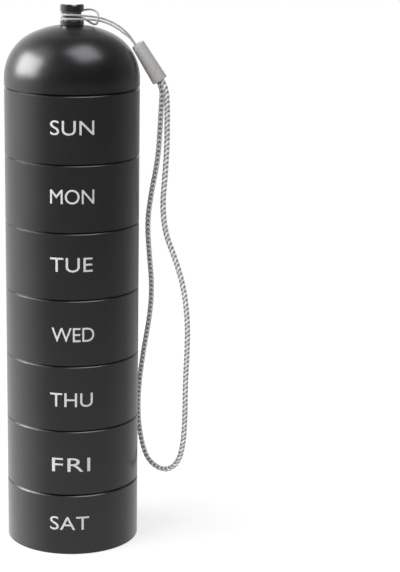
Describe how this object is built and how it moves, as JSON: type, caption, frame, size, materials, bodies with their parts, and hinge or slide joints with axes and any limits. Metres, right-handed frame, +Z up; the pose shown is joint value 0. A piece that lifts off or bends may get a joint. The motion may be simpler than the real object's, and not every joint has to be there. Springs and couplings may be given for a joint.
{
  "type": "stacking pill organizer",
  "caption": "Screw-together stack of round pill cups, one for each day, with a domed lid, a post and a braided wrist lanyard.",
  "frame": {"origin": "bottom centre of the saturday cup's underside, on the stack's axis", "axes": "+Z up the stack's axis; the day letters face -Y; the lanyard hangs on the +X side"},
  "size_m": [0.0484, 0.0346, 0.1417],
  "materials": {
    "black_shell": "satin black anodised, day letters in light grey",
    "black_post": "gloss black anodised, polished edges",
    "seal_rubber": "matte",
    "tether": "smooth white cord",
    "sleeve": "satin light grey",
    "strap": "grey and white braid"
  },
  "bodies": {
    "saturday": {"saturday_cup": "black_shell"},
    "friday_ring": {"friday_seal": "seal_rubber"},
    "friday": {"friday_cup": "black_shell"},
    "thursday_ring": {"thursday_seal": "seal_rubber"},
    "thursday": {"thursday_cup": "black_shell"},
    "wednesday_ring": {"wednesday_seal": "seal_rubber"},
    "wednesday": {"wednesday_cup": "black_shell"},
    "tuesday_ring": {"tuesday_seal": "seal_rubber"},
    "tuesday": {"tuesday_cup": "black_shell"},
    "monday_ring": {"monday_seal": "seal_rubber"},
    "monday": {"monday_cup": "black_shell"},
    "sunday_ring": {"sunday_seal": "seal_rubber"},
    "sunday": {"sunday_cup": "black_shell"},
    "lid_ring": {"lid_seal": "seal_rubber"},
    "lid": {"domed_lid": "black_shell", "lanyard_post": "black_post"},
    "lanyard": {"tether_cord": "tether", "cord_sleeve": "sleeve", "wrist_strap": "strap"}
  },
  "joints": [
    {"name": "friday_lift", "type": "slide", "parent": "saturday", "child": "friday_ring", "axis": [0, 0, 1], "range_m": [0, 0.0051]},
    {"name": "friday_screw", "type": "hinge", "parent": "friday_ring", "child": "friday", "pos_m": [0, 0, 0.0163], "axis": [0, 0, 1], "range_deg": [0, 1226]},
    {"name": "thursday_lift", "type": "slide", "parent": "friday", "child": "thursday_ring", "axis": [0, 0, 1], "range_m": [0, 0.0051]},
    {"name": "thursday_screw", "type": "hinge", "parent": "thursday_ring", "child": "thursday", "pos_m": [0, 0, 0.0337], "axis": [0, 0, 1], "range_deg": [0, 1226]},
    {"name": "wednesday_lift", "type": "slide", "parent": "thursday", "child": "wednesday_ring", "axis": [0, 0, 1], "range_m": [0, 0.0051]},
    {"name": "wednesday_screw", "type": "hinge", "parent": "wednesday_ring", "child": "wednesday", "pos_m": [0, 0, 0.0511], "axis": [0, 0, 1], "range_deg": [0, 1226]},
    {"name": "tuesday_lift", "type": "slide", "parent": "wednesday", "child": "tuesday_ring", "axis": [0, 0, 1], "range_m": [0, 0.0051]},
    {"name": "tuesday_screw", "type": "hinge", "parent": "tuesday_ring", "child": "tuesday", "pos_m": [0, 0, 0.0685], "axis": [0, 0, 1], "range_deg": [0, 1226]},
    {"name": "monday_lift", "type": "slide", "parent": "tuesday", "child": "monday_ring", "axis": [0, 0, 1], "range_m": [0, 0.0051]},
    {"name": "monday_screw", "type": "hinge", "parent": "monday_ring", "child": "monday", "pos_m": [0, 0, 0.0859], "axis": [0, 0, 1], "range_deg": [0, 1226]},
    {"name": "sunday_lift", "type": "slide", "parent": "monday", "child": "sunday_ring", "axis": [0, 0, 1], "range_m": [0, 0.0051]},
    {"name": "sunday_screw", "type": "hinge", "parent": "sunday_ring", "child": "sunday", "pos_m": [0, 0, 0.1033], "axis": [0, 0, 1], "range_deg": [0, 1226]},
    {"name": "lid_lift", "type": "slide", "parent": "sunday", "child": "lid_ring", "axis": [0, 0, 1], "range_m": [0, 0.0051]},
    {"name": "lid_screw", "type": "hinge", "parent": "lid_ring", "child": "lid", "pos_m": [0, 0, 0.1207], "axis": [0, 0, 1], "range_deg": [0, 1226]},
    {"name": "lanyard_swivel", "type": "hinge", "parent": "lid", "child": "lanyard", "pos_m": [0, 0, 0.1386], "axis": [0, 0, 1], "continuous": true}
  ],
  "couplings": [
    {"joint": "friday_screw", "follows": "friday_lift", "rad_per_m": 4188.8},
    {"joint": "thursday_screw", "follows": "thursday_lift", "rad_per_m": 4188.8},
    {"joint": "wednesday_screw", "follows": "wednesday_lift", "rad_per_m": 4188.8},
    {"joint": "tuesday_screw", "follows": "tuesday_lift", "rad_per_m": 4188.8},
    {"joint": "monday_screw", "follows": "monday_lift", "rad_per_m": 4188.8},
    {"joint": "sunday_screw", "follows": "sunday_lift", "rad_per_m": 4188.8},
    {"joint": "lid_screw", "follows": "lid_lift", "rad_per_m": 4188.8}
  ]
}
